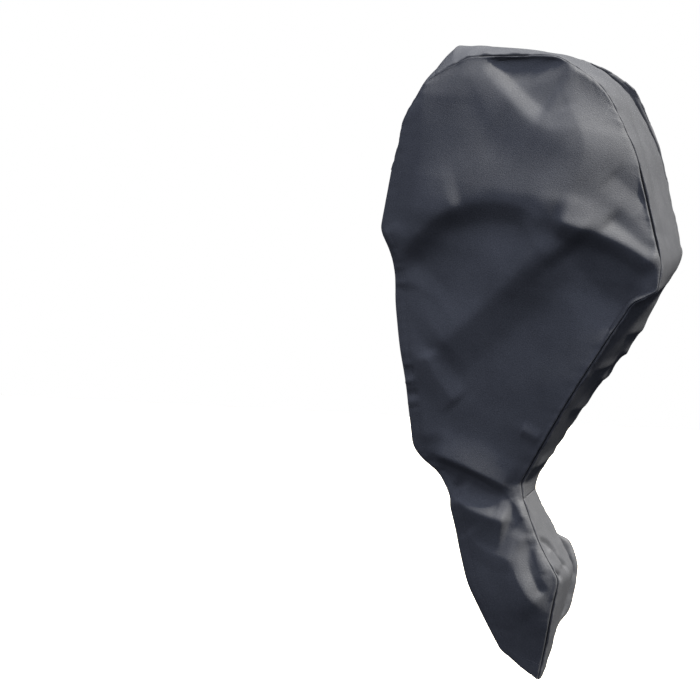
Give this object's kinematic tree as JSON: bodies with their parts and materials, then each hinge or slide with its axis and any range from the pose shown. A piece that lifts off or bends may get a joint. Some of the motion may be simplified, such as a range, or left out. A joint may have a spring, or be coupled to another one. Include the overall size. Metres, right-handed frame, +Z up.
{
  "type": "outboard motor cover",
  "caption": "Full-length fitted cloth cover for a small outboard motor: side panels joined by a gusset over the top and down the back to a narrow leg, open in front.",
  "frame": {"origin": "just under the cloth at the middle of the top, where the cover rests on what it covers", "axes": "+Z up, +X towards the back, where the gusset bulges over the hood, -X towards the open front, +-Y across the cover"},
  "size_m": [0.4891, 0.2961, 1.0802],
  "materials": {
    "cloth": "coated plain-woven polyester, dark slate grey, softly shiny at a low angle"
  },
  "bodies": {
    "root": {"side_panel_near": "cloth", "side_panel_far": "cloth", "gusset_upper": "cloth", "gusset_leg": "cloth"}
  },
  "joints": []
}
